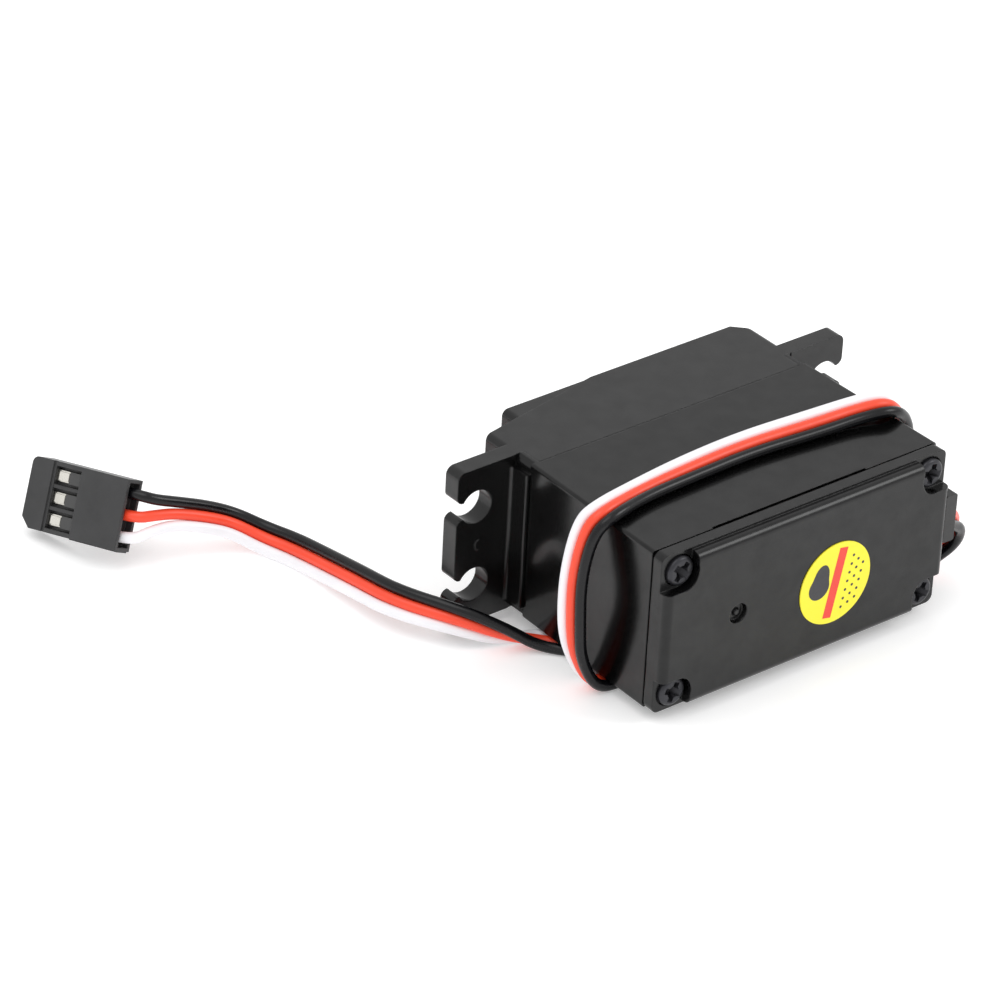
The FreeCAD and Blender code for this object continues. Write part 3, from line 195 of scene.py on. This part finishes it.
# ---------------------------------------------------------------- materials

class Nodes:
    """A material's node tree, with short calls that add and join nodes."""

    def __init__(self, name):
        self.material = bpy.data.materials.new(name)
        self.material.use_nodes = True
        self.tree = self.material.node_tree
        self.shader = self.tree.nodes["Principled BSDF"]
        self.place = self.tree.nodes.new("ShaderNodeTexCoord").outputs["Object"]

    def link(self, output, socket):
        self.tree.links.new(output, socket)

    def noise(self, scale, detail=3.0, roughness=0.55, stretch=None):
        node = self.tree.nodes.new("ShaderNodeTexNoise")
        node.inputs["Scale"].default_value = scale
        node.inputs["Detail"].default_value = detail
        node.inputs["Roughness"].default_value = roughness
        place = self.place
        if stretch:
            mapping = self.tree.nodes.new("ShaderNodeMapping")
            mapping.inputs["Scale"].default_value = stretch
            self.link(place, mapping.inputs["Vector"])
            place = mapping.outputs["Vector"]
        self.link(place, node.inputs["Vector"])
        return node.outputs["Fac"]

    def spread(self, value, low, high):
        """Turns a noise value into one between low and high."""
        node = self.tree.nodes.new("ShaderNodeMapRange")
        node.inputs["From Min"].default_value = NOISE_SPAN[0]
        node.inputs["From Max"].default_value = NOISE_SPAN[1]
        node.inputs["To Min"].default_value = low
        node.inputs["To Max"].default_value = high
        self.link(value, node.inputs["Value"])
        return node.outputs["Result"]

    def mixed(self, share, first, second):
        """A colour that goes from the first to the second as the share goes from 0 to 1."""
        node = self.tree.nodes.new("ShaderNodeMix")
        node.data_type = "RGBA"
        node.inputs["A"].default_value = (*first, 1.0)
        node.inputs["B"].default_value = (*second, 1.0)
        self.link(share, node.inputs["Factor"])
        return node.outputs["Result"]

    def bumped(self, height, depth, soften=0.0):
        """Surface relief of a given depth, with edges softened over a small radius."""
        bump = self.tree.nodes.new("ShaderNodeBump")
        bump.inputs["Strength"].default_value = 1.0
        bump.inputs["Distance"].default_value = depth
        self.link(height, bump.inputs["Height"])
        if soften:
            bevel = self.tree.nodes.new("ShaderNodeBevel")
            bevel.samples = 4
            bevel.inputs["Radius"].default_value = soften
            self.link(bevel.outputs["Normal"], bump.inputs["Normal"])
        self.link(bump.outputs["Normal"], self.shader.inputs["Normal"])


def solid_material(name, colour, rough, metal=0.0, grain=3000.0, depth=0.000004, vary=0.12,
                   soften=0.0, stretch=None, specular=0.5, sheen_drift=0.04):
    """A surface with fine relief, a slight drift of colour and uneven gloss."""
    nodes = Nodes(name)
    inputs = nodes.shader.inputs
    fine = nodes.noise(grain, detail=4.0, stretch=stretch)
    broad = nodes.noise(DRIFT_SCALE, detail=2.0)
    darker = tuple(c * (1 - vary) for c in colour)
    lighter = tuple(min(1.0, c * (1 + vary)) for c in colour)
    drift = nodes.mixed(nodes.spread(broad, 0.0, 1.0), darker, lighter)
    nodes.link(drift, inputs["Base Color"])
    smoothest, roughest = (rough * factor for factor in ROUGHNESS_DRIFT)
    nodes.link(nodes.spread(fine, smoothest, min(1.0, roughest)), inputs["Roughness"])
    inputs["Metallic"].default_value = metal
    patchy = nodes.noise(PATCH_SCALE, detail=5.0, roughness=0.65)
    sheen = nodes.spread(patchy, specular * (1 - sheen_drift), specular * (1 + sheen_drift))
    nodes.link(sheen, inputs["Specular IOR Level"])
    nodes.bumped(fine, depth, soften)
    return nodes.material


def floor_paper():
    """Pale studio paper, lit from within a little so that the object's shade stays soft."""
    nodes = Nodes("floor_paper")
    inputs = nodes.shader.inputs
    fine = nodes.noise(PAPER_SCALE)
    paper = nodes.mixed(nodes.spread(fine, 0.0, 1.0), (0.90, 0.90, 0.90), (0.92, 0.92, 0.92))
    nodes.link(paper, inputs["Base Color"])
    inputs["Roughness"].default_value = 0.9
    inputs["Specular IOR Level"].default_value = 0.1
    inputs["Emission Color"].default_value = (1.0, 1.0, 1.0, 1.0)
    inputs["Emission Strength"].default_value = FLOOR_GLOW
    return nodes.material


def moulded_black(level, rough, specular=0.45, soften=0.0002, grain=2600.0, depth=0.000003):
    """Black moulded plastic: nearly all the light it returns is its sheen."""
    return {"colour": (level, level, level * 1.03), "rough": rough, "specular": specular,
            "soften": soften, "grain": grain, "depth": depth, "sheen_drift": 0.12}


def plain(colour, rough, **others):
    """A plastic, rubber or painted surface."""
    return {"colour": colour, "rough": rough, **others}


def metallic(colour, rough, metal=1.0, **others):
    return {"colour": colour, "rough": rough, "metal": metal, **others}


def insulation(colour, rough, **others):
    return plain(colour, rough, grain=1500.0, **others)


FINISHES = {
    "case_black": moulded_black(0.003, 0.22),
    "case_shell": moulded_black(0.002, 0.17, specular=0.36, depth=0.000002),
    "cover_black": moulded_black(0.003, 0.22, specular=0.38),
    "screw_steel": metallic((0.035, 0.035, 0.04), 0.34, metal=0.6, soften=0.00008),
    "label_yellow": plain((0.90, 0.80, 0.03), 0.45, depth=0.000001, vary=0.03),
    "seal_rubber": plain((0.02, 0.02, 0.02), 0.7),
    "relief_rubber": plain((0.018, 0.018, 0.018), 0.42, soften=0.00015),
    "output_steel": metallic((0.60, 0.57, 0.50), 0.30, soften=0.00005, stretch=(1.0, 12.0, 1.0)),
    "bush_bronze": metallic((0.62, 0.42, 0.20), 0.42),
    "pin_steel": metallic((0.65, 0.65, 0.67), 0.18),
    "gear_steel": metallic((0.50, 0.49, 0.47), 0.32),
    "gear_brass": metallic((0.72, 0.53, 0.24), 0.28),
    "motor_steel": metallic((0.66, 0.66, 0.68), 0.22),
    "motor_cap_plastic": plain((0.70, 0.70, 0.66), 0.35),
    "contact_metal": metallic((0.78, 0.76, 0.70), 0.25, soften=0.00005),
    "magnet": plain((0.06, 0.06, 0.065), 0.6),
    "core_iron": metallic((0.20, 0.21, 0.20), 0.45, metal=0.8, stretch=(1.0, 30.0, 1.0)),
    "copper": metallic((0.62, 0.25, 0.10), 0.30),
    "pot_case": plain((0.03, 0.09, 0.04), 0.35),
    "pot_inner": plain((0.72, 0.70, 0.60), 0.45),
    "pot_carbon": plain((0.02, 0.02, 0.02), 0.6),
    "board_green": plain((0.02, 0.14, 0.05), 0.3, grain=900.0),
    "chip_black": plain((0.02, 0.02, 0.02), 0.5),
    "chip_tan": plain((0.45, 0.33, 0.20), 0.5),
    "can_silver": metallic((0.70, 0.70, 0.71), 0.25),
    "wire_black_pvc": insulation((0.002, 0.002, 0.003), 0.26, specular=0.36),
    "wire_red_pvc": insulation((0.92, 0.066, 0.024), 0.36, vary=0.04),
    "wire_white_pvc": insulation((0.87, 0.86, 0.89), 0.36, vary=0.02),
    "plug_black": moulded_black(0.034, 0.40, grain=2000.0, depth=0.000006),
    "plug_latch": plain((0.05, 0.05, 0.05), 0.5),
}
LABEL_INKS = {
    "label_ink": plain((0.03, 0.03, 0.035), 0.45, depth=0.000001),
    "label_red": plain((0.80, 0.05, 0.03), 0.45, depth=0.000001, vary=0.03),
}


def make_materials():
    """One material for each of the record's slots, given to every CAD node that uses the slot."""
    made = {name: solid_material(name, **finish) for name, finish in FINISHES.items()}
    for part in frame["record"]["subparts"]:
        node = frame["nodes"][part["node"]]
        node.data.materials.clear()
        node.data.materials.append(made[part["material_slot"]])
    return made


# ---------------------------------------------------------------- lead

def plug_axes():
    """The plug's own axes: along it to the mating end, up its edge, and through it."""
    turn, dip, lean = (math.radians(a) for a in (PLUG_TURN, PLUG_DIP, PLUG_LEAN))
    along = Vector((math.cos(turn) * math.cos(dip), math.sin(turn) * math.cos(dip), math.sin(dip)))
    aside = Vector((-math.sin(turn), math.cos(turn), 0))
    upward = along.cross(aside) * math.cos(lean) - aside * math.sin(lean)
    return along, upward, along.cross(upward)


def in_plug(along_by, up_by, through_by):
    """A point in the plug's own frame, measured from a corner of the end the wires enter."""
    along, upward, through = plug_axes()
    return PLUG_CORNER + along * (along_by - PLUG_LENGTH) + upward * up_by + through * through_by


def station_point(station, offset):
    """A point of the ribbon, at an offset across it from the middle wire."""
    x, y, z, turn, rise = station
    turn, rise = math.radians(turn), math.radians(rise)
    level = math.cos(rise)
    across = Vector((level * math.cos(turn), level * math.sin(turn), math.sin(rise)))
    return Vector((x, y, z)) + across * offset


def wire_points(side):
    """One wire's route: side is -1, 0 or 1 for the black, red and white wire."""
    points = [station_point(station, side * WIRE_DIAMETER) for station in LEAD_ROUTE]
    points.append(station_point(FAN_POINT, side * FAN_PITCH))
    height = PLUG_WIDTH / 2 - side * PLUG_PITCH
    for along_by in (WIRE_AIM, WIRE_END):
        points.append(in_plug(along_by, height, PLUG_THICKNESS / 2))
    return points


def make_wire(colour, side, materials):
    """A smooth round wire on the route's control points, parented to the case's body."""
    points = wire_points(side)
    curve = bpy.data.curves.new("lead_" + colour, "CURVE")
    curve.dimensions = "3D"
    curve.bevel_depth = WIRE_DIAMETER / 2
    curve.bevel_resolution = 6
    curve.use_fill_caps = True
    spline = curve.splines.new("NURBS")
    spline.points.add(len(points) - 1)
    for control, point in zip(spline.points, points):
        control.co = (*point, 1.0)
    spline.order_u = 3
    spline.use_endpoint_u = True
    spline.resolution_u = 12
    wire = bpy.data.objects.new("lead_" + colour, curve)
    bpy.context.scene.collection.objects.link(wire)
    curve.materials.append(materials["wire_" + colour + "_pvc"])
    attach(wire, "case")
    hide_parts("wire_" + colour)


def make_lead(materials):
    for side, colour in ((-1, "black"), (0, "red"), (1, "white")):
        make_wire(colour, side, materials)


# ---------------------------------------------------------------- label

# The print is laid out on a disc of radius 1: u runs along the bar and v across it.
PRINT_TURN = 78.0             # degrees, from +X to the bar's length
PRINT_THICKNESS = 0.000012
DROP_PLACE = (-0.08, 0.46)
DROP_RADIUS = 0.29
DROP_POINT = 0.95             # how far the point stands out, in radii of the drop
DROP_SHARPNESS = 6
BAR_HALF_LENGTH = 0.86
BAR_HALF_WIDTH = 0.12
DOT_RADIUS = 0.035
DOT_STEP = 0.21
DOT_ROW_STEP = 0.17
FIRST_DOT_ROW = -0.36
DOT_COUNTS = (7, 6, 5)        # in each row
DISC_STEPS = 96
DROP_STEPS = 64
DOT_STEPS = 16
INK, RED = 1, 2               # places among the label's materials, after its yellow


def dot(x, z, radius):
    steps = [2 * math.pi * i / DOT_STEPS for i in range(DOT_STEPS)]
    return [(x + radius * math.cos(a), z + radius * math.sin(a)) for a in steps]


def drop(x, z, radius, lean):
    """A water drop: a circle drawn out to a point on one side."""
    outline = []
    for i in range(DROP_STEPS):
        a = 2 * math.pi * i / DROP_STEPS
        reach = radius * (1 + DROP_POINT * max(0.0, math.cos(a)) ** DROP_SHARPNESS)
        outline.append((x + reach * math.cos(a + lean), z + reach * math.sin(a + lean)))
    return outline


def add_disc(bm, low, high, radius):
    """The sticker itself, as thick as the CAD's."""
    disc = bmesh.ops.create_circle(bm, cap_ends=True, segments=DISC_STEPS, radius=radius)
    upright = Matrix.Rotation(math.pi / 2, 3, "X")
    bmesh.ops.rotate(bm, verts=disc["verts"], cent=(0, 0, 0), matrix=upright)
    centre = ((low.x + high.x) / 2, low.y, (low.z + high.z) / 2)
    bmesh.ops.translate(bm, verts=disc["verts"], vec=centre)
    skin = bmesh.ops.extrude_face_region(bm, geom=bm.faces[:])
    moved = [v for v in skin["geom"] if isinstance(v, bmesh.types.BMVert)]
    bmesh.ops.translate(bm, verts=moved, vec=(0, high.y - low.y, 0))
    bmesh.ops.recalc_face_normals(bm, faces=bm.faces[:])


def add_print(bm, outline, y, material_index):
    """A flat printed shape that faces out of the cover. The outline's points are (x, z)."""
    corners = [bm.verts.new((x, y, z)) for x, z in outline]
    face = bm.faces.new(corners)
    face.material_index = material_index
    face.normal_update()
    if face.normal.y > 0:
        face.normal_flip()


def printed_shapes(centre_x, centre_z, radius):
    """Yields each printed outline and its ink: the drop, the bar and the dots."""
    turn = math.radians(PRINT_TURN)
    along = Vector((math.cos(turn), math.sin(turn)))
    across = Vector((-along.y, along.x))

    def at(u, v):
        spot = (along * u + across * v) * radius
        return centre_x + spot.x, centre_z + spot.y

    yield drop(*at(*DROP_PLACE), DROP_RADIUS * radius, turn), INK
    length, width = BAR_HALF_LENGTH, BAR_HALF_WIDTH
    yield [at(-length, width), at(length, width), at(length, -width), at(-length, -width)], RED
    for row, count in enumerate(DOT_COUNTS):
        for column in range(count):
            u = (column - (count - 1) / 2) * DOT_STEP
            v = FIRST_DOT_ROW - row * DOT_ROW_STEP
            yield dot(*at(u, v), DOT_RADIUS * radius), INK


def make_label(materials):
    """A round yellow sticker, with a printed drop, a red bar and rows of small dots."""
    low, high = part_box("cover_label")
    radius = (high.x - low.x) / 2
    bm = bmesh.new()
    add_disc(bm, low, high, radius)
    print_y = low.y - PRINT_THICKNESS
    for outline, ink in printed_shapes((low.x + high.x) / 2, (low.z + high.z) / 2, radius):
        add_print(bm, outline, print_y, ink)
    mesh = bpy.data.meshes.new("label_print")
    bm.to_mesh(mesh)
    bm.free()
    mesh.materials.append(materials["label_yellow"])
    for name, finish in LABEL_INKS.items():
        mesh.materials.append(solid_material(name, **finish))
    label = bpy.data.objects.new("label_print", mesh)
    bpy.context.scene.collection.objects.link(label)
    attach(label, "case")
    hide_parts("cover_label")


# ---------------------------------------------------------------- the scene

make_camera()
MATERIALS = make_materials()
make_lead(MATERIALS)
make_label(MATERIALS)
make_studio()
